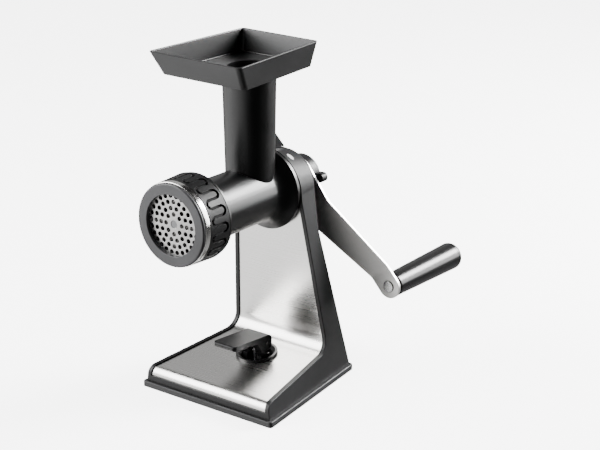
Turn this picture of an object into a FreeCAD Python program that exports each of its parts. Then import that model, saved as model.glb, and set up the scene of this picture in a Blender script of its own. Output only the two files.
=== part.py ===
import FreeCAD, Part
import math
import os
import Sketcher

# Hand crank meat grinder on a suction stand, in millimetres.
# +Z is up. The origin is the centre of the foot on the table. The outlet
# faces -Y, the crank is at +Y, and the auger turns about a line along Y.

DRIVING_SIZES = [
    # stand
    ("foot_width", 174.6), ("foot_depth", 171.8), ("foot_height", 6.5), ("foot_rim", 6.0),
    ("foot_corner", 3.5), ("side_inset", 3.1), ("wall_taper", 0.130), ("wall_lean", 0.123),
    ("shell_wall", 4.0), ("shell_gap", 0.6), ("deck_height", 32.1), ("deck_slope", 0.105),
    ("front_base", 46.4), ("front_lean", 0.13), ("rear_base", 85.6), ("rear_lean", 0.228),
    ("nose_round", 10.0), ("deck_round", 15.0), ("rear_round", 60.0), ("edge_round", 0.8),
    ("band_depth", 2.8), ("band_stand", 0.5),
    ("axis_height", 211.0), ("head_front", 20.8), ("head_rear", 47.6), ("head_rise", 43.5),
    ("head_slope", 0.2),
    # steel cover
    ("cover_thick", 1.2), ("cover_recess", 1.4), ("cover_border", 5.0), ("cover_lip", 13.4),
    ("cover_top", 196.0),
    # suction foot
    ("plate_thick", 2.6), ("cup_radius", 52.0), ("cup_room", 58.0), ("cup_roof", 12.6),
    ("stem_radius", 4.0), ("stem_clear", 0.08), ("well_clear", 2.2), ("well_wall", 1.8),
    ("well_floor", 17.5), ("bezel_width", 5.5), ("bezel_stand", 1.4), ("lever_height", 46.0),
    ("lever_half", 14.6), ("lever_length", 55.5), ("lever_thick", 5.4), ("lever_slope", 4.3),
    ("lever_pin_radius", 1.6), ("pin_clear", 0.08), ("cam_drop", 13.1),
    # grinder body
    ("barrel_bore", 27.3), ("barrel_wall", 4.1), ("flange_step", 5.7),
    ("flange_rear", -90.6), ("flange_thick", 2.2), ("seat_wall", 4.3), ("body_front", -126.0),
    ("seat_depth", 15.4), ("flare_start", -3.0), ("flare_rim", 15.6), ("flare_radius", 43.4),
    ("flare_rear", 19.8), ("spigot_radius", 30.0), ("spigot_rear", 36.0), ("spigot_clear", 0.08),
    ("tube_y", -8.2), ("tube_top_z", 344.0), ("tube_top_radius", 27.7), ("tube_low_radius", 25.0),
    ("tube_wall", 2.8),
    # tray
    ("tray_rim_z", 370.0), ("tray_gap", 0.3), ("tray_wall", 2.6), ("tray_floor", 2.8),
    ("tray_front", -94.7), ("tray_rear", 42.7), ("tray_front_width", 117.1),
    ("tray_rear_width", 98.3), ("tray_draft_front", 14.7), ("tray_draft_rear", 5.9),
    ("tray_draft_side", 5.2), ("tray_corner", 5.0), ("spout_length", 14.0),
    # outlet: disc, blade, rings
    ("disc_radius", 33.9), ("disc_clear", 0.1), ("disc_thick", 6.0), ("disc_stand", 1.0),
    ("disc_hole", 2.4),
    ("outlet_depth", 5.2), ("outlet_step", 0.6), ("outlet_lip", 2.4),
    ("outlet_rim", 3.0), ("steel_wall", 3.4), ("steel_length", 6.3), ("ring_gap", 2.6),
    ("ring_step", 0.3), ("ring_flare", 1.2), ("sleeve_wall", 1.5),
    ("thread_clear", 0.3), ("wave_count", 16.0), ("wave_depth", 2.0),
    # auger and shaft
    ("auger_core", 9.0), ("flight_gap", 0.3), ("auger_pitch", 26.0), ("flight_thick", 5.0),
    ("journal_radius", 9.5), ("run_clear", 0.08), ("shaft_radius", 9.0), ("hex_across", 11.0),
    ("socket_depth", 14.0), ("blade_pin", 4.0), ("blade_square", 9.0),
    # crank
    ("cap_gap", 0.5), ("cap_rear", 58.5), ("cap_radius", 36.5), ("hub_radius", 22.3),
    ("arm_front", 67.7), ("arm_thick", 3.5), ("arm_reach", 149.5), ("arm_angle", 48.5),
    ("arm_bend_near", 43.0), ("arm_bend_far", 131.0), ("arm_offset", 33.3),
    ("arm_end_half", 13.3), ("shaft_square", 12.0), ("knob_length", 12.5), ("wing_reach", 32.3),
    ("wing_thick", 10.0), ("wing_angle", 4.0),
    # grip
    ("grip_start_radius", 12.9), ("grip_end_radius", 15.0), ("grip_length", 110.0),
    ("grip_cap_length", 7.5), ("grip_pin_radius", 4.0), ("grip_gap", 0.3),
]

doc = FreeCAD.newDocument("meat_grinder")
sheet = doc.addObject("Spreadsheet::Sheet", "Sizes")


class Size:
    """A number that also knows the spreadsheet expression it comes from."""

    def __init__(self, value, text):
        self.value = float(value)
        self.text = text

    def __float__(self):
        return self.value

    def __add__(self, other):
        other = as_size(other)
        return Size(self.value + other.value, "(%s + %s)" % (self.text, other.text))

    def __radd__(self, other):
        return as_size(other) + self

    def __sub__(self, other):
        other = as_size(other)
        return Size(self.value - other.value, "(%s - %s)" % (self.text, other.text))

    def __rsub__(self, other):
        return as_size(other) - self

    def __mul__(self, other):
        other = as_size(other)
        return Size(self.value * other.value, "(%s * %s)" % (self.text, other.text))

    def __rmul__(self, other):
        return as_size(other) * self

    def __truediv__(self, other):
        other = as_size(other)
        return Size(self.value / other.value, "(%s / %s)" % (self.text, other.text))

    def __neg__(self):
        return Size(-self.value, "(0 - %s)" % self.text)


def as_size(number):
    if isinstance(number, Size):
        return number
    return Size(number, "(%.6f)" % number)


class Sizes:
    """The driving dimensions by name."""


S = Sizes()
for row, (alias, number) in enumerate(DRIVING_SIZES, start=1):
    sheet.set("A%d" % row, alias)
    sheet.set("B%d" % row, str(number))
    sheet.setAlias("B%d" % row, alias)
    setattr(S, alias, Size(number, "Sizes.%s" % alias))
doc.recompute()

# What fits together takes its size from the piece that it fits.
S.well_radius = S.lever_half + S.well_clear
S.bezel_radius = S.well_radius + S.bezel_width
S.barrel_radius = S.barrel_bore + S.barrel_wall
S.auger_flight = S.barrel_bore - S.flight_gap
S.seat_radius = S.disc_radius + S.disc_clear
S.thread_radius = S.seat_radius + S.seat_wall
S.flange_radius = S.thread_radius + S.flange_step
S.disc_front = S.body_front - S.disc_stand
S.outlet_front = S.disc_front - S.outlet_depth
S.outlet_open = S.disc_radius - S.outlet_lip
S.ring_sleeve = S.thread_radius + S.thread_clear + S.sleeve_wall
S.steel_radius = S.ring_sleeve + S.steel_wall
S.outlet_radius = S.steel_radius - S.outlet_step
S.ring_front_radius = S.steel_radius + S.ring_step
S.ring_rear_radius = S.ring_front_radius + S.ring_flare
S.ring_rear = S.flange_rear - S.ring_gap

V = FreeCAD.Vector
parts = []


# ---------------------------------------------------------------- helpers
def keep(thing, label):
    """Name a finished sub-part; its label is its file name."""
    thing.Label = label
    parts.append(thing)
    return thing


def plane_of(body, role):
    for feature in body.Origin.OriginFeatures:
        if feature.Role == role:
            return feature
    raise ValueError(role)


def new_body(name, lift=None):
    """A body, raised to the auger's axis when lift is given."""
    body = doc.addObject("PartDesign::Body", name)
    if lift is not None:
        body.setExpression("Placement.Base.z", lift.text)
    return body


def outline_sketch(body, role, name, outline, offset=None):
    """A closed outline of straight lines whose corners are bound to the sheet."""
    sketch = body.newObject("Sketcher::SketchObject", name)
    sketch.AttachmentSupport = (plane_of(body, role), [""])
    sketch.MapMode = "FlatFace"
    if offset is not None:
        sketch.setExpression("AttachmentOffset.Base.z", as_size(offset).text)
    corners = [(as_size(across), as_size(up)) for across, up in outline]
    count = len(corners)
    for index in range(count):
        start, stop = corners[index], corners[(index + 1) % count]
        sketch.addGeometry(Part.LineSegment(V(start[0].value, start[1].value, 0),
                                            V(stop[0].value, stop[1].value, 0)), False)
    for index in range(count):
        sketch.addConstraint(Sketcher.Constraint("Coincident", index, 2, (index + 1) % count, 1))
    for index, (across, up) in enumerate(corners):
        for kind, size in (("DistanceX", across), ("DistanceY", up)):
            number = sketch.addConstraint(Sketcher.Constraint(kind, -1, 1, index, 1, size.value))
            sketch.setExpression("Constraints[%d]" % number, size.text)
    return sketch


def circle_sketch(body, role, name, radius, across=0.0, up=0.0, offset=None):
    """A circle whose radius and centre are bound to the sheet."""
    sketch = body.newObject("Sketcher::SketchObject", name)
    sketch.AttachmentSupport = (plane_of(body, role), [""])
    sketch.MapMode = "FlatFace"
    if offset is not None:
        sketch.setExpression("AttachmentOffset.Base.z", as_size(offset).text)
    radius, across, up = as_size(radius), as_size(across), as_size(up)
    sketch.addGeometry(Part.Circle(V(across.value, up.value, 0), V(0, 0, 1), radius.value), False)
    for kind, size in (("DistanceX", across), ("DistanceY", up)):
        number = sketch.addConstraint(Sketcher.Constraint(kind, -1, 1, 0, 3, size.value))
        sketch.setExpression("Constraints[%d]" % number, size.text)
    number = sketch.addConstraint(Sketcher.Constraint("Radius", 0, radius.value))
    sketch.setExpression("Constraints[%d]" % number, radius.text)
    return sketch


def turn(body, name, outline, cut=False):
    """Revolve an outline of (y, radius) corners about the body's Y axis."""
    sketch = outline_sketch(body, "YZ_Plane", name + "_outline", outline)
    kind = "PartDesign::Groove" if cut else "PartDesign::Revolution"
    feature = body.newObject(kind, name)
    feature.Profile = sketch
    feature.ReferenceAxis = (sketch, ["H_Axis"])
    feature.Angle = 360
    return feature


def lathe(label, outline, lift=None):
    """A round sub-part about the auger's axis."""
    body = new_body(label + "_body", S.axis_height if lift is None else lift)
    turn(body, label + "_turned", outline)
    return keep(body, label)


def drill(body, name, sketch, length, back=False):
    """Cut a sketch into the body, checked later by its volume."""
    pocket = body.newObject("PartDesign::Pocket", name)
    pocket.Profile = sketch
    pocket.setExpression("Length", as_size(length).text)
    pocket.Reversed = back
    return pocket


def shaped(label, shape, placement=None):
    """A sub-part whose shape is made in code from the sheet's values."""
    thing = doc.addObject("Part::Feature", label + "_solid")
    thing.Shape = shape
    if placement is not None:
        thing.Placement = placement
    return keep(thing, label)


def rounded(corners, to_point):
    """A closed wire through (a, b, radius) corners with tangent arcs at the corners."""
    count = len(corners)
    pieces = []
    for index, (a, b, radius) in enumerate(corners):
        here = V(float(a), float(b), 0)
        before = V(float(corners[index - 1][0]), float(corners[index - 1][1]), 0)
        after = V(float(corners[(index + 1) % count][0]), float(corners[(index + 1) % count][1]), 0)
        if float(radius) <= 0:
            pieces.append((here, None, here))
            continue
        back = (before - here).normalize()
        ahead = (after - here).normalize()
        half = back.getAngle(ahead) / 2
        reach = float(radius) / math.tan(half)
        middle = here + (back + ahead).normalize() * (float(radius) / math.sin(half) - float(radius))
        pieces.append((here + back * reach, middle, here + ahead * reach))
    edges = []
    for index, (enter, middle, leave) in enumerate(pieces):
        if middle is not None:
            edges.append(Part.Arc(to_point(enter), to_point(middle), to_point(leave)).toShape())
        following = pieces[(index + 1) % count][0]
        if leave.distanceToPoint(following) > 1e-6:
            edges.append(Part.LineSegment(to_point(leave), to_point(following)).toShape())
    return Part.Wire(Part.__sortEdges__(edges))


def side_view(x):
    """Maps (y, z) corners to a plane of constant x."""
    return lambda point: V(x, point.x, point.y)


def plan_view(z):
    """Maps (x, y) corners to a plane of constant z."""
    return lambda point: V(point.x, point.y, z)


def front_view(y):
    """Maps (x, z) corners to a plane of constant y."""
    return lambda point: V(point.x, y, point.y)


def cylinder_y(radius, start, stop, x=0.0, z=None):
    """A cylinder along Y, on the auger's axis unless z is given."""
    height = float(S.axis_height) if z is None else float(z)
    return Part.makeCylinder(float(radius), float(stop) - float(start),
                             V(float(x), float(start), height), V(0, 1, 0))


def cylinder_z(radius, low, high, x=0.0, y=0.0):
    return Part.makeCylinder(float(radius), float(high) - float(low),
                             V(float(x), float(y), float(low)), V(0, 0, 1))


def box(low, high):
    size = [float(high[i]) - float(low[i]) for i in range(3)]
    return Part.makeBox(size[0], size[1], size[2], V(*[float(value) for value in low]))


# ---------------------------------------------------------------- stand
HALF_SPAN = float(S.foot_width) / 2 + 15      # half the width of the blanks that are cut to shape


def half_width(y, z, inset=0.0):
    """Half the stand's width: its side walls taper to the rear and lean in."""
    at_front = float(S.foot_width) / 2 - float(S.side_inset)
    back = float(y) + float(S.foot_depth) / 2
    return at_front - float(S.wall_taper) * back - float(S.wall_lean) * float(z) - float(inset)


def arch(y, inset=0.0):
    """The stand's cross-section at y: leaning sides under a half-ellipse."""
    top = float(S.axis_height)
    reach = half_width(y, top, inset)
    rise = float(S.head_rise) - float(S.head_slope) * (y - float(S.head_front)) - inset
    low = half_width(y, 0.0, inset)
    crown = Part.BSplineCurve()
    steps = 24
    crown.interpolate([V(reach * math.cos(math.pi * i / steps), y,
                         top + rise * math.sin(math.pi * i / steps)) for i in range(steps + 1)])
    sides = [Part.LineSegment(V(low, y, 0), V(reach, y, top)).toShape(), crown.toShape(),
             Part.LineSegment(V(-reach, y, top), V(-low, y, 0)).toShape(),
             Part.LineSegment(V(-low, y, 0), V(low, y, 0)).toShape()]
    return Part.Wire(sides)


def envelope(inset=0.0):
    """The tapering tunnel that trims everything between the stand's side walls."""
    inset = float(inset)
    far = float(S.foot_depth) / 2 + 6
    return Part.makeLoft([arch(-far, inset), arch(far, inset)], True, True)


skirt_low = float(S.foot_height) + float(S.shell_gap)
nose_y = float(S.side_inset) - float(S.foot_depth) / 2


def deck(y):
    """The height of the deck's sloping surface."""
    return float(S.deck_height) + float(S.deck_slope) * y


meet_z = ((float(S.deck_height) + float(S.deck_slope) * float(S.front_base))
          / (1 + float(S.deck_slope) * float(S.front_lean)))
meet_y = float(S.front_base) - float(S.front_lean) * meet_z
head_top = float(S.axis_height) + float(S.head_rise) + 12
shoulder_z = (float(S.front_base) - float(S.head_front)) / float(S.front_lean)
waist_z = (float(S.rear_base) - float(S.head_rear)) / float(S.rear_lean)
heel_y = float(S.rear_base) - float(S.rear_lean) * skirt_low

side_corners = [
    (nose_y, skirt_low, 0), (nose_y, deck(nose_y), S.nose_round), (meet_y, meet_z, S.deck_round),
    (S.head_front, shoulder_z, 0), (S.head_front, head_top, 0), (S.head_rear, head_top, 0),
    (S.head_rear, waist_z, S.rear_round), (heel_y, skirt_low, 0)]
side_face = Part.Face(rounded(side_corners, side_view(-HALF_SPAN)))


def slab(face):
    return face.extrude(V(2 * HALF_SPAN, 0, 0))


def inner_face(depth):
    """The side view drawn inward by a depth."""
    return side_face.makeOffset2D(-depth)


shell_outer = slab(side_face).common(envelope())


def nose_edges(solid):
    """The long edges where the front surfaces meet the side walls, above the lip."""
    found = []
    for edge in solid.Edges:
        middle = edge.valueAt((edge.FirstParameter + edge.LastParameter) / 2)
        if edge.Length < 3 or abs(middle.x) < 20 or middle.z > shoulder_z:
            continue
        off_side = abs(abs(middle.x) - half_width(middle.y, middle.z))
        front = middle.y < meet_y + 1 and middle.z > skirt_low + 1
        along_side = abs(edge.valueAt(edge.FirstParameter).x - edge.valueAt(edge.LastParameter).x) < 40
        if off_side < 0.05 and front and along_side:
            found.append(edge)
    return found


shell_outer = shell_outer.makeFillet(float(S.edge_round), nose_edges(shell_outer))
shell_outer.fix(1e-4, 1e-4, 1e-3)

# The side panels and the crown lie a step below a band that follows the front outline.
panel_face = side_face.copy()
panel_face.translate(V(0, float(S.band_depth), -float(S.band_depth)))
panel_step = slab(side_face.common(panel_face)).cut(envelope(S.band_stand))
shell_outer = shell_outer.cut(panel_step)

wall = float(S.shell_wall)
cover_depth = float(S.cover_recess) + float(S.cover_thick)
cavity = slab(inner_face(wall)).common(envelope(wall))
cavity = cavity.common(box((-HALF_SPAN, -HALF_SPAN, 0), (HALF_SPAN, HALF_SPAN, waist_z - 6)))
mouth = box((-HALF_SPAN, nose_y + wall, 0), (HALF_SPAN, heel_y - wall, skirt_low + wall + 1))
cavity = cavity.fuse(mouth.common(envelope(wall)))

cover_room = slab(side_face).cut(slab(inner_face(cover_depth))).common(envelope(S.cover_border))
cover_zone = box((-HALF_SPAN, -HALF_SPAN, S.cover_lip), (HALF_SPAN, meet_y + 1, S.cover_top))
cover_room = cover_room.common(cover_zone)

# The bezel's seat is square to the deck, and the stem's well goes straight down.
deck_tilt = math.degrees(math.atan(float(S.deck_slope)))
deck_frame = FreeCAD.Placement(V(0, 0, float(S.deck_height)), FreeCAD.Rotation(V(1, 0, 0), deck_tilt))
steel_top = -float(S.cover_recess)


def on_deck(solid):
    """Puts a solid that was made round the deck's origin onto the sloping deck."""
    solid.Placement = deck_frame.multiply(solid.Placement)
    return solid


def deck_disc(radius, low, high):
    return on_deck(Part.makeCylinder(float(radius), float(high) - float(low), V(0, 0, float(low))))


rim_inner = float(S.well_radius) + float(S.well_wall)
seat_hole = deck_disc(rim_inner + 0.3, -30, 10)

bearing_radius = float(S.shaft_radius) + 6
web_front = float(S.spigot_rear) + 2
shell = shell_outer.cut(cavity).cut(cover_room).cut(seat_hole)
shell = shell.cut(cylinder_y(S.spigot_radius + S.spigot_clear, float(S.head_front) - 5, web_front))
shell = shell.cut(cylinder_y(bearing_radius, web_front - 1, float(S.head_rear) + 1))

# Bosses that take the base screws: the front pair under the deck, the rear
# pair along the rear wall.
plate_low = float(S.foot_height)
plate_top = plate_low + float(S.plate_thick)
screw_radius = 2.0
screw_clear = 0.05
boss_radius = 4.5
front_screw_y = -float(S.foot_depth) / 2 + 20
rear_screw_y = heel_y - wall - boss_radius - 1
screw_spots = []
for y, inset in ((front_screw_y, 20), (rear_screw_y, 10)):
    reach = half_width(y, plate_top, inset)
    screw_spots += [(-reach, y), (reach, y)]
rear_boss_top = 24.0
for x, y in screw_spots:
    boss_top = deck(y) - wall + 0.5 if y < 0 else rear_boss_top
    shell = shell.fuse(cylinder_z(boss_radius, plate_top, boss_top, x, y))
for x, y in screw_spots:
    shell = shell.cut(cylinder_z(screw_radius + screw_clear, plate_top - 1, plate_top + 12, x, y))
shaped("stand_shell", shell.removeSplitter())

# Bent steel sheet between the side walls: front lip, deck and column panel.
cover_stock = slab(inner_face(float(S.cover_recess))).cut(slab(inner_face(cover_depth)))
cover = cover_stock.common(envelope(float(S.cover_border) + 0.15)).common(cover_zone)
cover = cover.cut(seat_hole)
cover = cover.cut(cylinder_y(S.spigot_radius + 2, -20, float(S.head_rear)))
shaped("steel_cover", cover.removeSplitter())


def foot_outline(inset, z):
    """The foot's tapered outline with rounded corners, drawn inward by inset."""
    front = -float(S.foot_depth) / 2 + inset
    rear = float(S.foot_depth) / 2 - inset
    at_front = float(S.foot_width) / 2 - inset * math.hypot(1, float(S.wall_taper))
    front_half = at_front - float(S.wall_taper) * inset
    rear_half = at_front - float(S.wall_taper) * (float(S.foot_depth) - inset)
    corner = max(float(S.foot_corner) - inset, 1.0)
    return rounded([(-front_half, front, corner), (front_half, front, corner),
                    (rear_half, rear, corner), (-rear_half, rear, corner)], plan_view(z))


def foot_prism(inset, low, high):
    return Part.Face(foot_outline(inset, low)).extrude(V(0, 0, high - low))


foot = foot_prism(0, 0, plate_low).cut(foot_prism(float(S.foot_rim), -1, plate_low + 1))
foot = foot.makeChamfer(0.8, [e for e in foot.Edges if abs(e.BoundBox.ZMin - plate_low) < 0.01
                              and abs(e.BoundBox.ZMax - plate_low) < 0.01
                              and abs(e.BoundBox.YMax) + abs(e.BoundBox.YMin) > 2])
shaped("foot_ring", foot)

# Base plate with a round raised room for the suction cup.
plate_inset = float(S.side_inset) + 0.9
cup_room = float(S.cup_room)
roof_low = float(S.cup_roof)
roof_top = roof_low + float(S.plate_thick)
plate_edge = foot_prism(plate_inset, plate_low, plate_low + 0.5)
plate = foot_prism(float(S.side_inset) + wall + 1.6, plate_low, plate_top).fuse(plate_edge)
plate = plate.cut(cylinder_z(cup_room, 0, plate_top + 1))
plate = plate.fuse(cylinder_z(cup_room + float(S.plate_thick), plate_low, roof_top)
                   .cut(cylinder_z(cup_room, 0, roof_low)))
guide_radius = float(S.stem_radius) + 3
plate = plate.cut(cylinder_z(guide_radius, 0, roof_top + 1))
for x, y in screw_spots:
    plate = plate.cut(cylinder_z(screw_radius + 0.3, 0, plate_top + 1, x, y))
shaped("base_plate", plate.removeSplitter())

screw_head = 4.0
screws = []
for x, y in screw_spots:
    head = cylinder_z(screw_head, plate_low - 2.2, plate_low, x, y)
    shank = cylinder_z(screw_radius, plate_low, plate_top + 9, x, y)
    slot = box((x - screw_head - 1, y - 0.5, plate_low - 3), (x + screw_head + 1, y + 0.5, plate_low - 1.3))
    screws.append(head.fuse(shank).cut(slot))
shaped("base_screws", Part.makeCompound(screws))

# Suction foot: cup, stem with its eye, pin and lever.
cup_low = 0.4
dome_top = roof_low - 0.6
cup = new_body("suction_cup_body")
cup_outline = [(0, 6.0), (20.0, 6.0), (S.cup_radius - 6, 2.6), (S.cup_radius, cup_low),
               (S.cup_radius, cup_low + 1.2), (S.cup_radius - 7, 6.0), (24.0, dome_top), (0, dome_top)]
cup_sketch = outline_sketch(cup, "XZ_Plane", "cup_outline", cup_outline)
cup_turn = cup.newObject("PartDesign::Revolution", "cup_turned")
cup_turn.Profile = cup_sketch
cup_turn.ReferenceAxis = (cup_sketch, ["V_Axis"])
cup_turn.Angle = 360
keep(cup, "suction_cup")

lever_z = float(S.lever_height)
pin_radius = float(S.lever_pin_radius)
eye_radius = 4.2
eye_half = 4.6
stem = cylinder_z(S.stem_radius, dome_top, lever_z - eye_radius + 2)
stem = stem.fuse(cylinder_z(10.0, dome_top, roof_low - 0.1))
eye = Part.makeCylinder(eye_radius, 2 * eye_half, V(-eye_half, 0, lever_z), V(1, 0, 0))
eye_hole = Part.makeCylinder(pin_radius, 4 * eye_half, V(-2 * eye_half, 0, lever_z), V(1, 0, 0))
stem = stem.fuse(eye).cut(eye_hole)
shaped("suction_stem", stem.removeSplitter())

pin_body = doc.addObject("Part::Cylinder", "lever_pin_rod")
pin_body.setExpression("Radius", S.lever_pin_radius.text)
pin_body.setExpression("Height", (2 * S.lever_half - 0.4).text)
pin_body.setExpression("Placement.Base.x", (0.2 - S.lever_half).text)
pin_body.setExpression("Placement.Base.z", S.lever_height.text)
pin_body.Placement.Rotation = FreeCAD.Rotation(V(0, 1, 0), 90)
keep(pin_body, "lever_pin")

guide = cylinder_z(guide_radius - 0.02, roof_low, roof_top + 4)
guide = guide.fuse(cylinder_z(guide_radius + 2.5, roof_top, roof_top + 1.5))
guide = guide.cut(cylinder_z(float(S.stem_radius) + float(S.stem_clear), 0, roof_top + 9))
shaped("stem_guide", guide.removeSplitter())

# Bezel: a rim on the deck, a deep well, and two pads that the lever's cams press.
well = float(S.well_radius)
floor_z = float(S.well_floor) + 4.0
bezel = deck_disc(S.bezel_radius, steel_top, float(S.bezel_stand))
bezel = bezel.fuse(deck_disc(rim_inner, -4, steel_top))
well_tube = cylinder_z(rim_inner - 0.2, floor_z, float(S.deck_height) - 1)
bezel = bezel.fuse(well_tube)
bezel = bezel.cut(cylinder_z(well, floor_z + 2, float(S.deck_height) + 9))
bezel = bezel.cut(cylinder_z(float(S.stem_radius) + 1, 0, 60))
bezel = bezel.cut(on_deck(Part.makeCone(well - 1.0, well + 3.2, 4.2, V(0, 0, float(S.bezel_stand) - 4.1))))
pad_top = lever_z - float(S.cam_drop) - 0.3
for side in (-1, 1):
    inner, outer = side * 6.4, side * (float(S.lever_half) - 2.2)
    low = (min(inner, outer), -8.0, floor_z + 1)
    high = (max(inner, outer), 6.0, pad_top)
    bezel = bezel.fuse(box(low, high))
shaped("lever_bezel", bezel.removeSplitter())

# Lever: a paddle with a rounded back and two cheeks on the pin, whose lobes are the cams.
slope = math.tan(math.radians(float(S.lever_slope)))
thick = float(S.lever_thick)
tip_y = -float(S.lever_length)
back_y = 9.0
back_round = 8.0
half = float(S.lever_half)
cheek_inner = 5.2
heel = lever_z - float(S.cam_drop)
lift_limit = 70.0


def top_at(y):
    """The height of the paddle's top along its length."""
    return lever_z + 9.0 - slope * y


paddle_side = [(tip_y, top_at(tip_y), 2.2), (tip_y + 1.5, top_at(tip_y) - thick, 1.5),
               (-16.0, top_at(-16.0) - thick - 0.6, 3.0), (-8.5, top_at(-8.5) - thick - 1.5, 2.0),
               (back_y, lever_z - 1.5, 1.0), (back_y, top_at(back_y), back_round)]
cheek_side = [(-17.5, top_at(-17.5) - 2.0, 0), (-17.0, top_at(-17.0) - thick - 0.4, 2.0),
              (-4.6, heel, 1.6), (-1.5, heel, 1.6), (back_y, lever_z - 4.5, 3.5),
              (back_y, top_at(back_y), back_round)]
lever = Part.Face(rounded(paddle_side, side_view(-half))).extrude(V(2 * half, 0, 0))
for start in (-half, cheek_inner):
    cheek = Part.Face(rounded(cheek_side, side_view(start))).extrude(V(half - cheek_inner, 0, 0))
    lever = lever.fuse(cheek)

# Room for the stem between the cheeks, from rest to where the lever stands when lifted.
slot_half = float(S.stem_radius) + 0.5
lever = lever.cut(Part.makeCylinder(eye_radius + 0.6, 2 * cheek_inner, V(-cheek_inner, 0, lever_z), V(1, 0, 0)))
lever = lever.cut(box((-cheek_inner, 0, heel - 1), (cheek_inner, back_y + 1, lever_z + 1.6)))
lifted_slot = box((-cheek_inner, 0, -slot_half), (cheek_inner, back_y + 12, slot_half))
lifted_slot.rotate(V(0, 0, 0), V(1, 0, 0), lift_limit - 90)
lifted_slot.translate(V(0, 0, lever_z))
lever = lever.cut(lifted_slot)
lever = lever.cut(Part.makeCylinder(pin_radius + float(S.pin_clear), 4 * half,
                                    V(-2 * half, 0, lever_z), V(1, 0, 0)))
corner_block = rounded([(-half, tip_y, 6), (half, tip_y, 6), (half, back_y, 2.5), (-half, back_y, 2.5)],
                       plan_view(0))
lever = lever.common(Part.Face(corner_block).extrude(V(0, 0, 100)))
shaped("suction_lever", lever.removeSplitter())

# ---------------------------------------------------------------- head
cap_front = S.head_rear + S.cap_gap
cap = lathe("rear_cap", [(cap_front, S.shaft_radius + 6), (cap_front, S.cap_radius - 1.0),
                         (cap_front + 1.2, S.cap_radius), (cap_front + 5.0, S.cap_radius - 1.3),
                         (S.cap_rear - 1.5, S.cap_radius - 4.0), (S.cap_rear, S.cap_radius - 6.5),
                         (S.cap_rear, S.shaft_radius + 4), (cap_front, S.shaft_radius + 4)])
turn(cap, "rear_cap_hollow", [(cap_front - 1, S.shaft_radius + 6.5), (cap_front - 1, S.cap_radius - 3.5),
                              (cap_front + 5.0, S.cap_radius - 4.5), (S.cap_rear - 3.2, S.cap_radius - 9),
                              (S.cap_rear - 3.2, S.shaft_radius + 6.5)], cut=True)
bush_bore = S.shaft_radius + S.run_clear
lathe("front_bearing", [(web_front, bush_bore), (web_front, bearing_radius),
                        (S.head_rear, bearing_radius), (S.head_rear, bush_bore)])
lathe("rear_bearing", [(cap_front, bush_bore), (cap_front, S.shaft_radius + 4),
                       (S.cap_rear, S.shaft_radius + 4), (S.cap_rear, bush_bore)])

# Oval mark inlaid on the head that shows where the grinder body locks.
mark_angle = 32.0
mark_y = 31.0
mark_rod = Part.Face(Part.Wire(Part.Ellipse(V(0, 0, 0), 4.6, 3.1).toShape())).extrude(V(0, 0, 60))
mark_rod.Placement = FreeCAD.Placement(V(0, mark_y, float(S.axis_height)),
                                       FreeCAD.Rotation(V(0, 1, 0), mark_angle))
mark_deep = slab(side_face).common(envelope(S.band_stand + 0.8))
mark = mark_rod.common(shell_outer).cut(mark_deep)
parts[0].Shape = parts[0].Shape.cut(mark)
shaped("lock_mark", mark)

# ---------------------------------------------------------------- grinder body
# Barrel, flange, thread, flare and spigot in one turned outline, then the tube.
grinder = new_body("grinder_body_body", S.axis_height)
flange_front = S.flange_rear - S.flange_thick
flare_steps = 9
flare_low = S.barrel_radius - 0.6
flare_curve = []
for step in range(flare_steps):
    share = step / flare_steps
    flare_curve.append((S.flare_start + share * (S.flare_rim - S.flare_start),
                        flare_low + share ** 2 * (S.flare_radius - 0.8 - flare_low)))
turn(grinder, "barrel", [
    (S.body_front, 0), (S.body_front, S.thread_radius), (flange_front, S.thread_radius),
    (flange_front, S.flange_radius), (S.flange_rear, S.flange_radius),
    (S.flange_rear + 3.4, S.barrel_radius + 1.2), (S.flange_rear + 8, S.barrel_radius)]
    + flare_curve + [
    (S.flare_rim, S.flare_radius - 0.8), (S.flare_rim + 0.8, S.flare_radius),
    (S.flare_rear, S.flare_radius), (S.flare_rear, S.spigot_radius),
    (S.spigot_rear, S.spigot_radius), (S.spigot_rear, 0)])
tube = grinder.newObject("PartDesign::AdditiveCone", "feed_tube")
tube.setExpression("Radius1", S.tube_low_radius.text)
tube.setExpression("Radius2", S.tube_top_radius.text)
tube.setExpression("Height", (S.tube_top_z - S.axis_height).text)
tube.setExpression("AttachmentOffset.Base.y", S.tube_y.text)
tube.AttachmentSupport = (plane_of(grinder, "XY_Plane"), [""])
tube.MapMode = "FlatFace"
rib_front = S.tube_y + S.tube_low_radius
rib_rear = S.head_rear - 3


def over_head(y):
    """The height of the rib's underside above the auger's axis, just clear of the head."""
    return S.head_rise - S.head_slope * (y - S.head_front) + 0.7


rib_sketch = outline_sketch(grinder, "YZ_Plane", "rib_outline", [
    (rib_front, S.head_rise + 29.5), (rib_rear, over_head(rib_rear) + 1.2),
    (rib_rear, over_head(rib_rear)), (S.flare_rear + 0.4, over_head(S.flare_rear + 0.4)),
    (S.flare_rear - 0.2, S.flare_radius - 0.9), (rib_front, S.flare_radius - 0.9)])
rib = grinder.newObject("PartDesign::Pad", "rib")
rib.Profile = rib_sketch
rib.Length = 6
rib.Midplane = True
throat = grinder.newObject("PartDesign::SubtractiveCone", "feed_throat")
throat.setExpression("Radius1", (S.tube_low_radius - S.tube_wall).text)
throat.setExpression("Radius2", (S.tube_top_radius - S.tube_wall).text)
throat.setExpression("Height", (S.tube_top_z - S.axis_height).text)
throat.setExpression("AttachmentOffset.Base.y", S.tube_y.text)
throat.AttachmentSupport = (plane_of(grinder, "XY_Plane"), [""])
throat.MapMode = "FlatFace"
bush_seat = S.journal_radius + 3.5
bore_rear = S.flare_rim - 1.6
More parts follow.
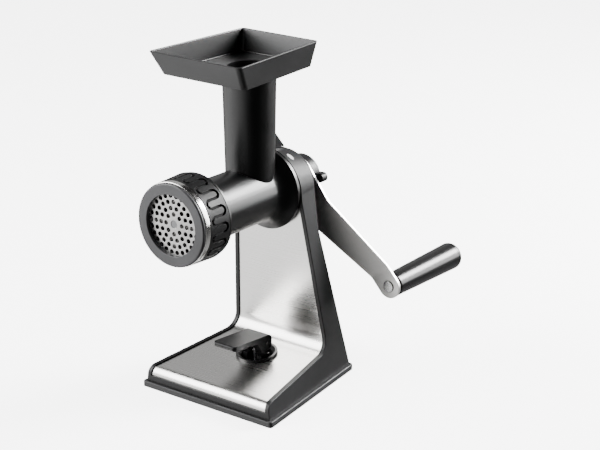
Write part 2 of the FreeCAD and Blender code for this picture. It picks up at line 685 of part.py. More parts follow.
turn(grinder, "bore", [
    (S.body_front - 1, 0), (S.body_front - 1, S.seat_radius),
    (S.body_front + S.seat_depth, S.seat_radius), (S.body_front + S.seat_depth, S.barrel_bore),
    (bore_rear, S.barrel_bore), (bore_rear, bush_seat), (S.spigot_rear + 1, bush_seat),
    (S.spigot_rear + 1, 0)], cut=True)
turn(grinder, "spigot_relief", [
    (S.flare_rear + 1, bush_seat + 3), (S.flare_rear + 1, S.spigot_radius - 3.2),
    (S.spigot_rear + 1, S.spigot_radius - 3.2), (S.spigot_rear + 1, bush_seat + 3)], cut=True)
keep(grinder, "grinder_body")
journal_bore = S.journal_radius + S.run_clear
lathe("auger_bush", [(bore_rear, journal_bore), (bore_rear, bush_seat - 0.02),
                     (S.spigot_rear - 4, bush_seat - 0.02), (S.spigot_rear - 4, journal_bore)])

# ---------------------------------------------------------------- outlet
disc_rear = S.disc_front + S.disc_thick
disc = new_body("perforated_disc_body", S.axis_height)
turn(disc, "disc_blank", [(S.disc_front, S.blade_pin + S.run_clear), (S.disc_front, S.disc_radius),
                          (disc_rear, S.disc_radius), (disc_rear, S.blade_pin + S.run_clear)])
holes = []
for ring, (pitch_radius, count) in enumerate([(10.2, 8), (16.6, 14), (23.0, 20), (29.2, 26)]):
    sketch = circle_sketch(disc, "XZ_Plane", "hole_%d" % ring, S.disc_hole, pitch_radius, 0)
    hole = drill(disc, "drill_%d" % ring, sketch, 400)
    hole.Midplane = True
    pattern = disc.newObject("PartDesign::PolarPattern", "ring_%d" % ring)
    pattern.Originals = [hole]
    pattern.Axis = (plane_of(disc, "Y_Axis"), [""])
    pattern.Angle = 360
    pattern.Occurrences = count
    disc.Tip = pattern
keep(disc, "perforated_disc")

blade_rear = disc_rear + 7.0
blade_front = disc_rear + 0.2
blade_hub = 9.5
across = float(S.blade_square) + 0.1
blade = cylinder_y(blade_hub, blade_front, blade_rear)
axis = float(S.axis_height)
for quarter in range(4):
    wing = rounded([(0, -4.2, 0), (S.disc_radius - 2.6, -3.0, 1), (S.disc_radius - 2.6, 3.6, 1),
                    (0, 4.6, 0)], front_view(blade_front))
    wing = Part.Face(wing).extrude(V(0, 4.2, 0))
    wing.rotate(V(0, 0, 0), V(0, 1, 0), 90 * quarter)
    wing.translate(V(0, 0, axis))
    blade = blade.fuse(wing)
blade = blade.cut(box((-across / 2, blade_front - 1, axis - across / 2),
                      (across / 2, blade_rear + 1, axis + across / 2)))
shaped("cutter_blade", blade.removeSplitter())

# Three rings: a grey front ring, a bright steel ring and the black ring nut.
front_ring_rear = S.outlet_front + S.outlet_rim
clamp_face = S.disc_front - 0.2
lathe("front_ring", [(S.outlet_front, S.outlet_open), (S.outlet_front, S.outlet_radius - 1.2),
                     (S.outlet_front + 1.2, S.outlet_radius), (front_ring_rear, S.outlet_radius),
                     (front_ring_rear, S.ring_sleeve - 0.3), (clamp_face, S.ring_sleeve - 0.3),
                     (clamp_face, S.outlet_open)])
steel_front = front_ring_rear + 0.5
steel_rear = steel_front + S.steel_length
lathe("steel_ring", [(steel_front, S.ring_sleeve + 0.1), (steel_front, S.steel_radius - 0.4),
                     (steel_front + 0.4, S.steel_radius), (steel_rear, S.steel_radius + 0.1),
                     (steel_rear, S.ring_sleeve + 0.1)])
thread_bore = S.thread_radius + S.thread_clear
ring_nut = new_body("ring_nut_body", S.axis_height)
turn(ring_nut, "ring_blank", [
    (clamp_face, thread_bore), (clamp_face, S.ring_sleeve), (steel_rear, S.ring_sleeve),
    (steel_rear, S.ring_front_radius - 0.6), (steel_rear + 0.6, S.ring_front_radius),
    (S.ring_rear - 2, S.ring_rear_radius), (S.ring_rear - 0.3, S.ring_rear_radius - 1.2),
    (S.ring_rear - 0.3, thread_bore)])
doc.recompute()

# The grip wave: a groove of U-bends that runs round the ring nut.
waves = int(round(float(S.wave_count)))
groove_half = 1.4
wave_step = 360.0 / waves
mid_radius = float(S.ring_rear_radius)
bend = math.pi * mid_radius / waves / 2
wave_front = float(steel_rear) + 4.0 + bend
wave_rear = float(S.ring_rear) - 5.0 - bend
groove_floor = mid_radius - float(S.wave_depth) - 0.4


def bend_ring(y, to_rear):
    """Half of a flat ring that joins two straight runs of the wave."""
    outer = Part.makeCylinder(bend + groove_half, 6, V(0, y, groove_floor))
    outer = outer.cut(Part.makeCylinder(bend - groove_half, 8, V(0, y, groove_floor - 1)))
    edge = y if to_rear else y - 3 * bend
    return outer.common(box((-3 * bend, edge, 0), (3 * bend, edge + 3 * bend, 99)))


def straight_run(x):
    return box((x - groove_half, wave_front, groove_floor), (x + groove_half, wave_rear, groove_floor + 6))


wave_tools = []
for number in range(waves):
    for tool, angle in ((straight_run(-bend), 0), (straight_run(bend), 0),
                        (bend_ring(wave_rear, True), 0), (bend_ring(wave_front, False), 0.5)):
        tool.rotate(V(0, 0, 0), V(0, 1, 0), (number + angle) * wave_step)
        tool.translate(V(0, 0, axis))
        wave_tools.append(tool)
nut_shape = ring_nut.Shape.cut(wave_tools)
shaped("ring_nut", nut_shape)

# ---------------------------------------------------------------- tray
tray_low = float(S.tube_top_z) + float(S.tray_gap)


def tray_wire(z, inset, share):
    """The tray's outline, from its floor (share 0) to its rim (share 1)."""
    front = float(S.tray_front) + float(S.tray_draft_front) * (1 - share) + inset
    rear = float(S.tray_rear) - float(S.tray_draft_rear) * (1 - share) - inset
    narrow = float(S.tray_draft_side) * (1 - share) + inset
    front_half = float(S.tray_front_width) / 2 - narrow
    rear_half = float(S.tray_rear_width) / 2 - narrow * 0.75
    corner = max(float(S.tray_corner) - inset, 1.0)
    return rounded([(-front_half, front, corner), (front_half, front, corner),
                    (rear_half, rear, corner), (-rear_half, rear, corner)], plan_view(z))


rim_z = float(S.tray_rim_z)
tray = Part.makeLoft([tray_wire(tray_low, 0, 0), tray_wire(rim_z, 0, 1)], True, True)
floor_top = tray_low + float(S.tray_floor)
floor_share = float(S.tray_floor) / (rim_z - tray_low)
hollow = Part.makeLoft([tray_wire(floor_top, float(S.tray_wall), floor_share),
                        tray_wire(rim_z + 0.001, float(S.tray_wall), 1)], True, True)
tray = tray.cut(hollow)
spout_radius = float(S.tube_top_radius) - float(S.tube_wall) - 0.9
tube_y = float(S.tube_y)
spout = cylinder_z(spout_radius, tray_low - float(S.spout_length), tray_low + 0.5, 0, tube_y)
tray = tray.fuse(spout)
tray = tray.cut(cylinder_z(spout_radius - 2.2, 0, rim_z, 0, tube_y))
shaped("food_tray", tray.removeSplitter())

# ---------------------------------------------------------------- auger and shaft
flight_front = float(S.body_front) + float(S.seat_depth) + 1.0
flight_rear = float(bore_rear) - 3.0
pitch = float(S.auger_pitch)
flight_half = float(S.flight_thick) / 2
turns_length = flight_rear - flight_front - 2 * flight_half


def flight():
    """One helical blade along +Z, made at the origin."""
    path = Part.Wire(Part.makeHelix(pitch, turns_length, float(S.auger_core) + 4))
    inner = float(S.auger_core) - 1.5
    outer = float(S.auger_flight)
    tip = flight_half * 0.5
    corners = [V(inner, 0, -flight_half), V(outer, 0, -tip), V(outer, 0, tip), V(inner, 0, flight_half),
               V(inner, 0, -flight_half)]
    return path.makePipeShell([Part.makePolygon(corners)], True, True)


blade_square = float(S.blade_square)
auger_end = float(disc_rear) + 7.4
journal_rear = float(S.spigot_rear) - 4
collar_front = float(bore_rear) - 2.6
auger_rod = cylinder_y(S.auger_core, auger_end, collar_front)
auger_rod = auger_rod.fuse(cylinder_y(float(bush_seat) + 2, collar_front, float(bore_rear) - 0.3))
auger_rod = auger_rod.fuse(cylinder_y(S.journal_radius, collar_front + 1, journal_rear))
auger_rod = auger_rod.fuse(box((-blade_square / 2, disc_rear, axis - blade_square / 2),
                               (blade_square / 2, auger_end + 1, axis + blade_square / 2)))
auger_rod = auger_rod.fuse(cylinder_y(S.blade_pin, S.disc_front + 0.5, auger_end))


def hexagon(across_flats, start, stop):
    """A hexagonal bar along Y on the auger's axis."""
    corner = across_flats / math.sqrt(3)
    points = [V(corner * math.cos(math.radians(60 * i)), start, axis + corner * math.sin(math.radians(60 * i)))
              for i in range(7)]
    return Part.Face(Part.makePolygon(points)).extrude(V(0, stop - start, 0))


socket_front = journal_rear - float(S.socket_depth)
hex_across = float(S.hex_across)
auger_rod = auger_rod.cut(hexagon(hex_across + 0.12, socket_front, journal_rear + 1))
blade_helix = flight()
blade_helix.translate(V(0, 0, flight_half))
blade_helix.rotate(V(0, 0, 0), V(1, 0, 0), -90)
blade_helix.translate(V(0, flight_front, axis))
shaped("auger", auger_rod.fuse(blade_helix))

shaft_front = journal_rear + 0.3
square = float(S.shaft_square)
arm_front = float(S.arm_front)
arm_rear = arm_front + float(S.arm_thick)
washer_front = float(S.cap_rear) + 0.3
washer_thick = 1.0
washer_radius = S.shaft_radius + 7
hub_front = washer_front + washer_thick
stud_radius = 5.0
stud_rear = arm_rear + float(S.knob_length) - 4
shaft = hexagon(hex_across, socket_front + 0.5, shaft_front + 1)
shaft = shaft.fuse(cylinder_y(S.shaft_radius, shaft_front, hub_front))
shaft = shaft.fuse(box((-square / 2, hub_front, axis - square / 2),
                       (square / 2, arm_rear - 0.3, axis + square / 2)))
shaft = shaft.fuse(cylinder_y(stud_radius, arm_rear - 1, stud_rear))
shaped("drive_shaft", shaft.removeSplitter())

washer_rear = washer_front + washer_thick
lathe("thrust_washer", [(washer_front, S.shaft_radius), (washer_front, washer_radius),
                        (washer_rear, washer_radius), (washer_rear, S.shaft_radius)])

# ---------------------------------------------------------------- crank
square_hole = box((-square / 2, hub_front - 1, axis - square / 2),
                  (square / 2, arm_rear + 1, axis + square / 2))
hub = cylinder_y(S.hub_radius, hub_front, arm_front)
hub = hub.makeFillet(1.5, [edge for edge in hub.Edges if edge.Curve.TypeId == "Part::GeomCircle"
                           and abs(edge.Curve.Center.y - hub_front) < 0.01])
shaped("crank_hub", hub.cut(square_hole))

reach = float(S.arm_reach)
near, far = float(S.arm_bend_near), float(S.arm_bend_far)
shift = float(S.arm_offset)
hub_half = float(S.hub_radius)
end_half = float(S.arm_end_half)
lift_angle = math.atan2(shift, far - near)
kink = float(S.arm_thick) * math.tan(lift_angle / 2)
bend_radius = 14.0
outer_bend = bend_radius + float(S.arm_thick)
arm_stop = reach + end_half + 5
strip = [(-hub_half - 5, arm_front, 0), (near, arm_front, outer_bend), (far, arm_front + shift, bend_radius),
         (arm_stop, arm_front + shift, 0), (arm_stop, arm_rear + shift, 0),
         (far - kink, arm_rear + shift, outer_bend), (near - kink, arm_rear, bend_radius),
         (-hub_half - 5, arm_rear, 0)]
strip_face = Part.Face(rounded(strip, plan_view(-60)))
planform = [Part.LineSegment(V(0, 0, hub_half), V(far, 0, end_half)).toShape(),
            Part.LineSegment(V(far, 0, end_half), V(reach, 0, end_half)).toShape(),
            Part.Arc(V(reach, 0, end_half), V(reach + end_half, 0, 0), V(reach, 0, -end_half)).toShape(),
            Part.LineSegment(V(reach, 0, -end_half), V(far, 0, -end_half)).toShape(),
            Part.LineSegment(V(far, 0, -end_half), V(0, 0, -hub_half)).toShape(),
            Part.Arc(V(0, 0, -hub_half), V(-hub_half, 0, 0), V(0, 0, hub_half)).toShape()]
arm = Part.Face(Part.Wire(planform)).extrude(V(0, 200, 0)).common(strip_face.extrude(V(0, 0, 120)))
arm = arm.cut(cylinder_y(float(S.grip_pin_radius) + 0.02, arm_front + shift - 10, arm_rear + shift + 10,
                         reach, 0))
arm.rotate(V(0, 0, 0), V(0, 1, 0), float(S.arm_angle))
arm.translate(V(0, 0, axis))
shaped("crank_arm", arm.cut(square_hole))

knob_front = arm_rear
knob_rear = knob_front + float(S.knob_length)
knob = cylinder_y(hub_half, knob_front, knob_rear)
wing_half = float(S.wing_thick) / 2
wing_reach = float(S.wing_reach)
wings = rounded([(-wing_reach, -wing_half, wing_half - 0.2), (wing_reach, -wing_half, wing_half - 0.2),
                 (wing_reach, wing_half, wing_half - 0.2), (-wing_reach, wing_half, wing_half - 0.2)],
                front_view(knob_front + 2.2))
wings = Part.Face(wings).extrude(V(0, float(S.knob_length) - 4.4, 0))
wings.rotate(V(0, 0, 0), V(0, 1, 0), -float(S.wing_angle))
wings.translate(V(0, 0, axis))
knob = knob.makeFillet(3.0, [edge for edge in knob.Edges if edge.Curve.TypeId == "Part::GeomCircle"
                             and abs(edge.Curve.Center.y - knob_rear) < 0.01])
knob = knob.fuse(wings)
knob = knob.cut(cylinder_y(stud_radius + 0.05, knob_front - 1, stud_rear + 0.5))
shaped("crank_knob", knob.removeSplitter())

# ---------------------------------------------------------------- grip
grip_x = reach * math.cos(math.radians(float(S.arm_angle)))
grip_z = axis - reach * math.sin(math.radians(float(S.arm_angle)))
arm_end_front = arm_front + shift
arm_end_rear = arm_rear + shift
grip_front = arm_end_rear + 2.5
grip_rear = grip_front + float(S.grip_length)
pin_r = float(S.grip_pin_radius)
pin_end = grip_rear - 6
head = Part.makeCone(6.0, 7.0, 1.6, V(grip_x, arm_end_front - 1.6, grip_z), V(0, 1, 0))
grip_pin = head.fuse(cylinder_y(pin_r, arm_end_front - 0.5, pin_end, grip_x, grip_z))
grip_pin = grip_pin.fuse(cylinder_y(8.0, arm_end_rear, grip_front - float(S.grip_gap), grip_x, grip_z))
shaped("grip_pin", grip_pin.removeSplitter())
screw_r = 6.5
grip = Part.makeCone(float(S.grip_start_radius), float(S.grip_end_radius), float(S.grip_length),
                     V(grip_x, grip_front, grip_z), V(0, 1, 0))
grip = grip.makeFillet(1.4, [edge for edge in grip.Edges if edge.Curve.TypeId == "Part::GeomCircle"
                             and abs(edge.Curve.Center.y - grip_front) < 0.01])
grip = grip.cut(cylinder_y(pin_r + float(S.run_clear), grip_front - 1, grip_rear + 1, grip_x, grip_z))
grip = grip.cut(cylinder_y(screw_r + 1.5, pin_end - 0.2, grip_rear + 1, grip_x, grip_z))
shaped("grip", grip)
screw = cylinder_y(screw_r, pin_end, pin_end + 3.0, grip_x, grip_z)
screw = screw.cut(box((grip_x - screw_r - 1, pin_end + 1.8, grip_z - 0.6),
                      (grip_x + screw_r + 1, pin_end + 4, grip_z + 0.6)))
shaped("grip_screw", screw)
end_radius = float(S.grip_end_radius)
cap_end = grip_rear + float(S.grip_cap_length)
grip_cap = cylinder_y(end_radius, grip_rear, cap_end, grip_x, grip_z)
grip_cap = grip_cap.makeFillet(5.5, [edge for edge in grip_cap.Edges if edge.Curve.TypeId == "Part::GeomCircle"
                                     and abs(edge.Curve.Center.y - cap_end) < 0.01])
grip_cap = grip_cap.fuse(cylinder_y(screw_r + 1.5, grip_rear - 2.5, grip_rear + 1, grip_x, grip_z))
grip_cap = grip_cap.cut(cylinder_y(screw_r + 0.4, grip_rear - 3, grip_rear + 0.5, grip_x, grip_z))
shaped("grip_cap", grip_cap.removeSplitter())

# ---------------------------------------------------------------- check and write
doc.recompute()
for item in doc.Objects:
    if "Invalid" in item.State or "Error" in item.State:
        raise RuntimeError("failed object: %s %s" % (item.Name, item.State))
os.makedirs("parts", exist_ok=True)
for part in parts:
    shape = part.Shape
    if shape.isNull() or not shape.isValid() or not shape.Solids:
        raise RuntimeError("bad shape: " + part.Label)
    print("%-18s solids %d volume %9.1f" % (part.Label, len(shape.Solids), shape.Volume))
    shape.exportStep("parts/" + part.Label + ".step")
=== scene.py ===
"""Looks for the hand crank meat grinder: materials, edge rounding, floor, light and camera."""
import math

import bpy
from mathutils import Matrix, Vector

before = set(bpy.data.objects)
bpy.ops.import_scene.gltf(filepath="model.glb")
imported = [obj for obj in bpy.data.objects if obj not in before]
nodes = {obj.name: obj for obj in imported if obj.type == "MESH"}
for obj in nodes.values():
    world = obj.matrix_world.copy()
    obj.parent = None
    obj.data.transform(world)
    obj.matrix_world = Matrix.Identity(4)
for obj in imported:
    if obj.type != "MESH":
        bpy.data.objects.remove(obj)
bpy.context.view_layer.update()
scene = bpy.context.scene


# ---------------------------------------------------------------- node helpers
# Blender's Mix node has sockets for numbers, vectors and colours; these are the colour ones.
MIX_COLOR_A, MIX_COLOR_B, MIX_COLOR_RESULT = 6, 7, 2


def opaque(color):
    """A colour of three numbers gets its alpha. A socket stays as it is."""
    return (*color, 1.0) if isinstance(color, tuple) else color


def shade_of(color, factor):
    return tuple(channel * factor for channel in color)


class Nodes:
    """A small writer for one material's node tree."""

    def __init__(self, name, material=None):
        self.material = material or bpy.data.materials.new(name)
        self.material.use_nodes = True
        self.tree = self.material.node_tree
        self.shader = self.tree.nodes["Principled BSDF"]
        self.place = self.add("ShaderNodeTexCoord").outputs["Object"]

    def add(self, kind, **settings):
        node = self.tree.nodes.new(kind)
        for key, value in settings.items():
            setattr(node, key, value)
        return node

    def link(self, source, target):
        self.tree.links.new(source, target)

    def put(self, socket, value):
        """Links a socket to an output, or sets its own number or colour."""
        if isinstance(value, bpy.types.NodeSocket):
            self.link(value, socket)
        else:
            socket.default_value = value

    def stretched(self, scale):
        """The place in the object, scaled apart along X, Y and Z."""
        node = self.add("ShaderNodeMapping")
        self.link(self.place, node.inputs["Vector"])
        node.inputs["Scale"].default_value = scale
        return node.outputs["Vector"]

    def noise(self, scale, detail=2.0, roughness=0.5, place=None):
        node = self.add("ShaderNodeTexNoise")
        self.link(place or self.place, node.inputs["Vector"])
        node.inputs["Scale"].default_value = scale
        node.inputs["Detail"].default_value = detail
        node.inputs["Roughness"].default_value = roughness
        return node.outputs["Fac"]

    def cells(self, scale):
        node = self.add("ShaderNodeTexVoronoi")
        self.link(self.place, node.inputs["Vector"])
        node.inputs["Scale"].default_value = scale
        return node.outputs["Distance"]

    def spread(self, value, low, high, start=0.35, stop=0.65):
        """Maps the middle of a noise onto a range of numbers."""
        node = self.add("ShaderNodeMapRange")
        self.link(value, node.inputs["Value"])
        node.inputs["From Min"].default_value = start
        node.inputs["From Max"].default_value = stop
        node.inputs["To Min"].default_value = low
        node.inputs["To Max"].default_value = high
        return node.outputs["Result"]

    def tint(self, value, dark, light):
        """A colour that goes from dark to light with a value from 0 to 1."""
        node = self.add("ShaderNodeMix", data_type="RGBA")
        self.put(node.inputs["Factor"], value)
        self.put(node.inputs[MIX_COLOR_A], opaque(dark))
        self.put(node.inputs[MIX_COLOR_B], opaque(light))
        return node.outputs[MIX_COLOR_RESULT]

    def sum(self, first, second, share):
        """first plus second times share."""
        node = self.add("ShaderNodeMath", operation="MULTIPLY_ADD")
        self.link(second, node.inputs[0])
        node.inputs[1].default_value = share
        self.link(first, node.inputs[2])
        return node.outputs[0]

    def math(self, operation, first, second=0.0):
        """One Math node. Each of the two values is a socket or a number."""
        node = self.add("ShaderNodeMath", operation=operation)
        self.put(node.inputs[0], first)
        self.put(node.inputs[1], second)
        return node.outputs[0]

    def bump(self, height, depth):
        """Raises the surface by a height from 0 to 1 times depth, in metres."""
        node = self.add("ShaderNodeBump")
        node.inputs["Strength"].default_value = 1.0
        node.inputs["Distance"].default_value = depth
        self.link(height, node.inputs["Height"])
        self.link(node.outputs["Normal"], self.shader.inputs["Normal"])

    def surface(self, color, roughness, **constants):
        """Sets the shader. An underscore in a constant's name stands for a space."""
        self.put(self.shader.inputs["Base Color"], opaque(color))
        self.put(self.shader.inputs["Roughness"], roughness)
        for name, value in constants.items():
            self.shader.inputs[name.replace("_", " ")].default_value = value
        return self.material


# ---------------------------------------------------------------- materials
# A texture's scale is in features per metre, and a bump's depth is in metres.
def moulded(name, color, rough=0.38, depth=0.00003, vary=0.35, shine=0.5):
    """Moulded plastic: a fine spark-eroded grain, faint flow marks and rubbed patches."""
    n = Nodes(name)
    cloud = n.noise(scale=18.0, detail=3.0)
    flow = n.noise(scale=6.0, place=n.stretched((1.0, 1.0, 3.0)))
    grain = n.noise(scale=1600.0, roughness=0.6)
    base = n.tint(n.spread(cloud, 0.0, 1.0), shade_of(color, 1 - vary), shade_of(color, 1 + vary))
    rubbed = n.spread(n.sum(flow, grain, share=0.25), rough - 0.05, rough + 0.06, start=0.4, stop=0.8)
    n.bump(grain, depth)
    return n.surface(base, rubbed, IOR=1.48, Specular_IOR_Level=shine)


def grooved(name, color, axis_z, front, rear, front_radius, rear_radius):
    """Moulded plastic with painted shade in the grooves of a slightly conical band: a much darker
    colour there, and duller gloss.

    The band turns about a line along Y at height axis_z. Its radius is front_radius at y = front
    and rear_radius at y = rear, and a point that lies deeper than that is in a groove.
    """
    material = moulded(name, color, 0.42, shine=0.3)
    n = Nodes(name, material)
    parts = n.add("ShaderNodeSeparateXYZ")
    n.link(n.place, parts.inputs[0])
    across, along = parts.outputs["X"], parts.outputs["Y"]
    up = n.math("ADD", parts.outputs["Z"], -axis_z)
    squares = n.math("ADD", n.math("POWER", across, 2.0), n.math("POWER", up, 2.0))
    radius = n.math("SQRT", squares)
    skin = n.spread(along, front_radius, rear_radius, start=front, stop=rear)
    deep = n.spread(n.math("SUBTRACT", skin, radius), 0.0, 1.0, start=0.0003, stop=0.0007)
    before = n.math("LESS_THAN", along, rear)
    after = n.math("GREATER_THAN", along, front)
    painted_shade_and_dullness = n.math("MULTIPLY", deep, n.math("MULTIPLY", before, after))
    plain = n.shader.inputs["Base Color"].links[0].from_socket
    # Painted shade: the colour goes much darker in the grooves.
    n.put(n.shader.inputs["Base Color"], n.tint(painted_shade_and_dullness, plain, GROOVE_PAINTED_SHADE))
    gloss = n.shader.inputs["Roughness"].links[0].from_socket
    duller = n.math("MULTIPLY", painted_shade_and_dullness, 0.4)
    n.put(n.shader.inputs["Roughness"], n.math("ADD", gloss, duller))
    return material


def brushed(name, color, rough=0.27):
    """Steel brushed along X: streaks in height, gloss and shade, and faint finger haze."""
    n = Nodes(name)
    lines, streak_length = 1700.0, 90
    place = n.stretched((lines / streak_length, lines, lines))
    streak = n.noise(scale=1.0, detail=3.0, roughness=0.65, place=place)
    coarse = n.noise(scale=0.35, place=place)
    haze = n.noise(scale=14.0, detail=3.0)
    both = n.sum(streak, coarse, share=0.25)
    base = n.tint(n.spread(both, 0.0, 1.0, start=0.4, stop=0.85), shade_of(color, 0.94), color)
    n.bump(both, 0.0000012)
    gloss = n.spread(n.sum(streak, haze, share=0.8), rough - 0.03, rough + 0.05, start=0.5, stop=1.3)
    return n.surface(base, gloss, Metallic=1.0)


def turned(name, color, rough=0.22):
    """Steel turned or ground, with fine lines across Y and small pits."""
    n = Nodes(name)
    rings = n.noise(scale=1.0, place=n.stretched((40.0, 2600.0, 40.0)))
    pits = n.cells(scale=900.0)
    n.bump(n.sum(rings, pits, share=0.2), 0.000008)
    cloud = n.noise(scale=30.0, detail=3.0)
    base = n.tint(n.spread(cloud, 0.0, 1.0), shade_of(color, 0.88), color)
    return n.surface(base, n.spread(rings, rough - 0.05, rough + 0.08), Metallic=1.0)


def rubber(name, color):
    """Matte rubber with a dry bloom and fine pores."""
    n = Nodes(name)
    bloom = n.noise(scale=40.0, detail=4.0, roughness=0.6)
    pores = n.cells(scale=2200.0)
    dusty = tuple(channel * 1.9 + 0.004 for channel in color)
    base = n.tint(n.spread(bloom, 0.0, 1.0), color, dusty)
    n.bump(n.sum(n.noise(scale=900.0), pores, share=0.5), 0.00004)
    return n.surface(base, n.spread(bloom, 0.5, 0.66), IOR=1.5)


def nylon(name, color):
    """Natural nylon: pale, waxy and slightly mottled."""
    n = Nodes(name)
    mottle = n.noise(scale=60.0, detail=3.0)
    base = n.tint(n.spread(mottle, 0.0, 1.0), shade_of(color, 0.9), color)
    n.bump(n.noise(scale=1400.0, detail=1.0), 0.00002)
    return n.surface(base, n.spread(mottle, 0.36, 0.5), IOR=1.53)


def plated(name, color):
    """Zinc plated steel: cloudy crystals over a metallic base."""
    n = Nodes(name)
    crystals = n.cells(scale=500.0)
    base = n.tint(n.spread(crystals, 0.0, 1.0, start=0.1, stop=0.7), shade_of(color, 0.8), color)
    n.bump(n.noise(scale=1200.0), 0.00001)
    return n.surface(base, n.spread(crystals, 0.26, 0.42, start=0.1, stop=0.7), Metallic=1.0)


STEEL = (0.70, 0.69, 0.675)
HIDDEN_STEEL = (0.6, 0.6, 0.6)
BLACK = (0.003, 0.003, 0.0032)
STAND_BLACK = (0.006, 0.006, 0.0064)
# Painted shade for the grooves of the ring nut.
GROOVE_PAINTED_SHADE = (0.0006, 0.0006, 0.0006)
NYLON = (0.5, 0.49, 0.45)

# The ring nut's outer band, in metres in the shared frame.
NUT_BAND = {"axis_z": 0.211, "front": -0.1205, "rear": -0.0965,
            "front_radius": 0.04385, "rear_radius": 0.04495}

looks = {
    "stand_shell": moulded("stand_plastic", STAND_BLACK, 0.44, shine=0.32),
    "steel_cover": brushed("cover_steel", STEEL),
    "foot_ring": rubber("foot_rubber", (0.007, 0.007, 0.0074)),
    "base_plate": moulded("base_plastic", (0.014, 0.014, 0.015), 0.5),
    "base_screws": plated("screw_zinc", (0.62, 0.62, 0.63)),
    "suction_cup": rubber("cup_rubber", (0.02, 0.02, 0.021)),
    "suction_stem": turned("stem_steel", (0.3, 0.3, 0.31)),
    "lever_pin": turned("pin_steel", (0.6, 0.6, 0.61)),
    "stem_guide": nylon("guide_nylon", NYLON),
    "lever_bezel": moulded("bezel_plastic", BLACK, 0.36),
    "suction_lever": moulded("lever_plastic", STAND_BLACK, 0.44, shine=0.22),
    "rear_cap": moulded("cap_plastic", BLACK, 0.48, shine=0.3),
    "front_bearing": nylon("front_bearing_nylon", NYLON),
    "rear_bearing": nylon("rear_bearing_nylon", NYLON),
    "lock_mark": moulded("mark_white", (0.78, 0.78, 0.77), 0.32, vary=0.04),
    "grinder_body": moulded("body_plastic", BLACK, 0.3),
    "auger_bush": nylon("bush_nylon", NYLON),
    "perforated_disc": turned("disc_steel", (0.42, 0.415, 0.41), 0.3),
    "cutter_blade": turned("blade_steel", HIDDEN_STEEL),
    "front_ring": moulded("ring_grey", (0.032, 0.032, 0.034), 0.42),
    "steel_ring": turned("ring_steel", (0.74, 0.73, 0.71), 0.14),
    "ring_nut": grooved("nut_plastic", BLACK, **NUT_BAND),
    "food_tray": moulded("tray_plastic", (0.0062, 0.0062, 0.0066), 0.36),
    "auger": moulded("auger_plastic", (0.16, 0.16, 0.165), 0.4),
    "drive_shaft": turned("shaft_steel", HIDDEN_STEEL),
    "thrust_washer": nylon("washer_nylon", NYLON),
    "crank_hub": moulded("hub_plastic", BLACK, 0.38),
    "crank_arm": brushed("arm_steel", STEEL, 0.42),
    "crank_knob": moulded("knob_plastic", BLACK, 0.4, shine=0.35),
    "grip_pin": turned("grip_pin_steel", HIDDEN_STEEL),
    "grip": moulded("grip_plastic", BLACK, 0.26, depth=0.000008),
    "grip_screw": plated("grip_screw_zinc", (0.6, 0.6, 0.61)),
    "grip_cap": moulded("grip_cap_plastic", BLACK, 0.26, depth=0.000008),
}
for name, material in looks.items():
    mesh = nodes[name].data
    mesh.materials.clear()
    mesh.materials.append(material)

# ---------------------------------------------------------------- rounded edges
WELD_GAP = 0.000005
DISSOLVE_ANGLE = math.radians(0.4)
SHARP_ANGLE = math.radians(34)
# The width of each piece's rounded edges, in metres.
ROUNDING = {
    "stand_shell": 0.0005, "steel_cover": 0.0003, "foot_ring": 0.0006, "food_tray": 0.0007,
    "grinder_body": 0.0012, "suction_lever": 0.0008, "lever_bezel": 0.0005, "crank_arm": 0.0005,
    "crank_knob": 0.0008, "crank_hub": 0.0005, "ring_nut": 0.0004, "front_ring": 0.0005,
    "steel_ring": 0.0003, "rear_cap": 0.0006, "perforated_disc": 0.0002, "grip_pin": 0.0004,
    "grip_cap": 0.0004, "grip": 0.0004, "suction_stem": 0.0004, "drive_shaft": 0.0003,
}
for name, width in ROUNDING.items():
    part = nodes[name]
    weld = part.modifiers.new("weld", "WELD")
    weld.merge_threshold = WELD_GAP
    flat = part.modifiers.new("flat", "DECIMATE")
    flat.decimate_type = "DISSOLVE"
    flat.angle_limit = DISSOLVE_ANGLE
    bevel = part.modifiers.new("rounding", "BEVEL")
    bevel.width = width
    bevel.segments = 2
    bevel.limit_method = "ANGLE"
    bevel.angle_limit = SHARP_ANGLE
    bevel.use_clamp_overlap = True
    part.modifiers.new("shading", "WEIGHTED_NORMAL").keep_sharp = True

# ---------------------------------------------------------------- floor, light, camera
PAPER_GLOW = 5.0
FLOOR_HALF = 7.0
WALL_SIDES = 48
WALL_RADIUS = 6.8
WALL_FOOT, WALL_TOP = -0.02, 9.0


def paper(name):
    """Bright seamless paper, a little uneven."""
    n = Nodes(name)
    cloud = n.noise(scale=3.0)
    shade = n.tint(n.spread(cloud, 0.0, 1.0), (0.80, 0.80, 0.80), (0.83, 0.83, 0.83))
    return n.surface(shade, 0.8, Emission_Color=(1.0, 1.0, 1.0, 1.0), Emission_Strength=PAPER_GLOW)


def staged(name, vertices, faces):
    """A piece of the studio that only the camera sees, so it throws no glare on the object."""
    mesh = bpy.data.meshes.new(name)
    mesh.from_pydata(vertices, [], faces)
    piece = bpy.data.objects.new(name, mesh)
    piece.visible_glossy = False
    piece.visible_diffuse = False
    mesh.materials.append(paper(name + "_paper"))
    scene.collection.objects.link(piece)
    return piece


floor_points = [(x * FLOOR_HALF, y * FLOOR_HALF, 0) for x, y in ((-1, -1), (1, -1), (1, 1), (-1, 1))]
staged("floor", floor_points, [(0, 1, 2, 3)])
wall_points = []
for side in range(WALL_SIDES):
    angle = 2 * math.pi * side / WALL_SIDES
    for height in (WALL_FOOT, WALL_TOP):
        wall_points.append((WALL_RADIUS * math.cos(angle), WALL_RADIUS * math.sin(angle), height))
wall_faces = []
for side in range(WALL_SIDES):
    here, following = 2 * side, 2 * ((side + 1) % WALL_SIDES)
    wall_faces.append((here, here + 1, following + 1, following))
backdrop = staged("backdrop", wall_points, wall_faces)
backdrop.visible_shadow = False

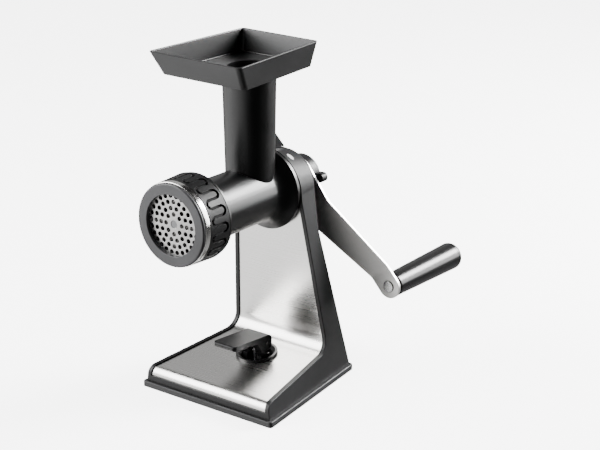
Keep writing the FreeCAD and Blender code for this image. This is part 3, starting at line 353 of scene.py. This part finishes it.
# The camera that was fitted to the photo's outlines.
AZIMUTH = math.radians(37.511)
ELEVATION = math.radians(19.293)
DISTANCE = 1.8145
TARGET = Vector((0.05805, 0.0, 0.1876))
LENS = 107.08
RIGHT = Vector((math.cos(AZIMUTH), math.sin(AZIMUTH), 0))
AWAY = Vector((-math.sin(AZIMUTH), math.cos(AZIMUTH), 0))
UP = Vector((0, 0, 1))
back = UP * math.sin(ELEVATION) - AWAY * math.cos(ELEVATION)
camera = bpy.data.objects.new("camera", bpy.data.cameras.new("camera"))
camera.data.lens = LENS
camera.data.sensor_width = 36.0
camera.data.clip_start = 0.05
camera.data.clip_end = 60.0
camera.location = TARGET + back * DISTANCE
camera.rotation_mode = "QUATERNION"
camera.rotation_quaternion = (-back).to_track_quat("-Z", "Y")
scene.collection.objects.link(camera)
scene.camera = camera

LIT_POINT = UP * 0.2


def softbox(name, turn, elevation, distance, width, height, power):
    """An area light that faces the object.

    turn is in degrees to the right from straight behind the object, as the camera sees it, and
    elevation is in degrees above the table. The sizes are in metres and the power is in watts.
    """
    angle = math.radians(turn)
    level = math.radians(elevation)
    flat = AWAY * math.cos(angle) + RIGHT * math.sin(angle)
    direction = flat * math.cos(level) + UP * math.sin(level)
    light = bpy.data.lights.new(name, "AREA")
    light.shape = "RECTANGLE"
    light.size = width
    light.size_y = height
    light.energy = power
    lamp = bpy.data.objects.new(name, light)
    lamp.location = LIT_POINT + direction * distance
    lamp.rotation_mode = "QUATERNION"
    lamp.rotation_quaternion = direction.to_track_quat("Z", "Y")
    lamp.visible_camera = False
    scene.collection.objects.link(lamp)


softbox("right_box", turn=74, elevation=18, distance=1.7, width=0.85, height=1.4, power=40)
softbox("left_box", turn=-96, elevation=27, distance=1.7, width=1.0, height=1.9, power=70)
softbox("back_box", turn=66, elevation=26, distance=1.9, width=0.6, height=0.7, power=105)

# The room round the object is dim. Light comes up from the table at the left and at
# the back, and a pale wall stands behind. Each glow has the direction that it comes from, the
# cosines of the angles from it at which it starts and is full, and its strength.
ROOM = 0.045
GLOWS = [((-0.62, -0.66, -0.42), 0.25, 0.98, 2.1), ((-0.575, 0.66, 0.48), 0.80, 0.985, 0.5),
         ((-0.10, 0.75, -0.62), 0.55, 0.98, 0.4)]
world = bpy.data.worlds.new("studio")
scene.world = world
world.use_nodes = True
tree = world.node_tree
shine = tree.nodes["Background"]
shine.inputs["Color"].default_value = (1.0, 1.0, 1.0, 1.0)
direction = tree.nodes.new("ShaderNodeTexCoord").outputs["Generated"]
total = None
for towards, start, stop, strength in GLOWS:
    facing = tree.nodes.new("ShaderNodeVectorMath")
    facing.operation = "DOT_PRODUCT"
    tree.links.new(direction, facing.inputs[0])
    facing.inputs[1].default_value = Vector(towards).normalized()
    level = tree.nodes.new("ShaderNodeMapRange")
    level.interpolation_type = "SMOOTHSTEP"
    tree.links.new(facing.outputs["Value"], level.inputs["Value"])
    level.inputs["From Min"].default_value = start
    level.inputs["From Max"].default_value = stop
    level.inputs["To Max"].default_value = strength
    adder = tree.nodes.new("ShaderNodeMath")
    tree.links.new(level.outputs["Result"], adder.inputs[0])
    if total is None:
        adder.inputs[1].default_value = ROOM
    else:
        tree.links.new(total, adder.inputs[1])
    total = adder.outputs[0]
tree.links.new(total, shine.inputs["Strength"])
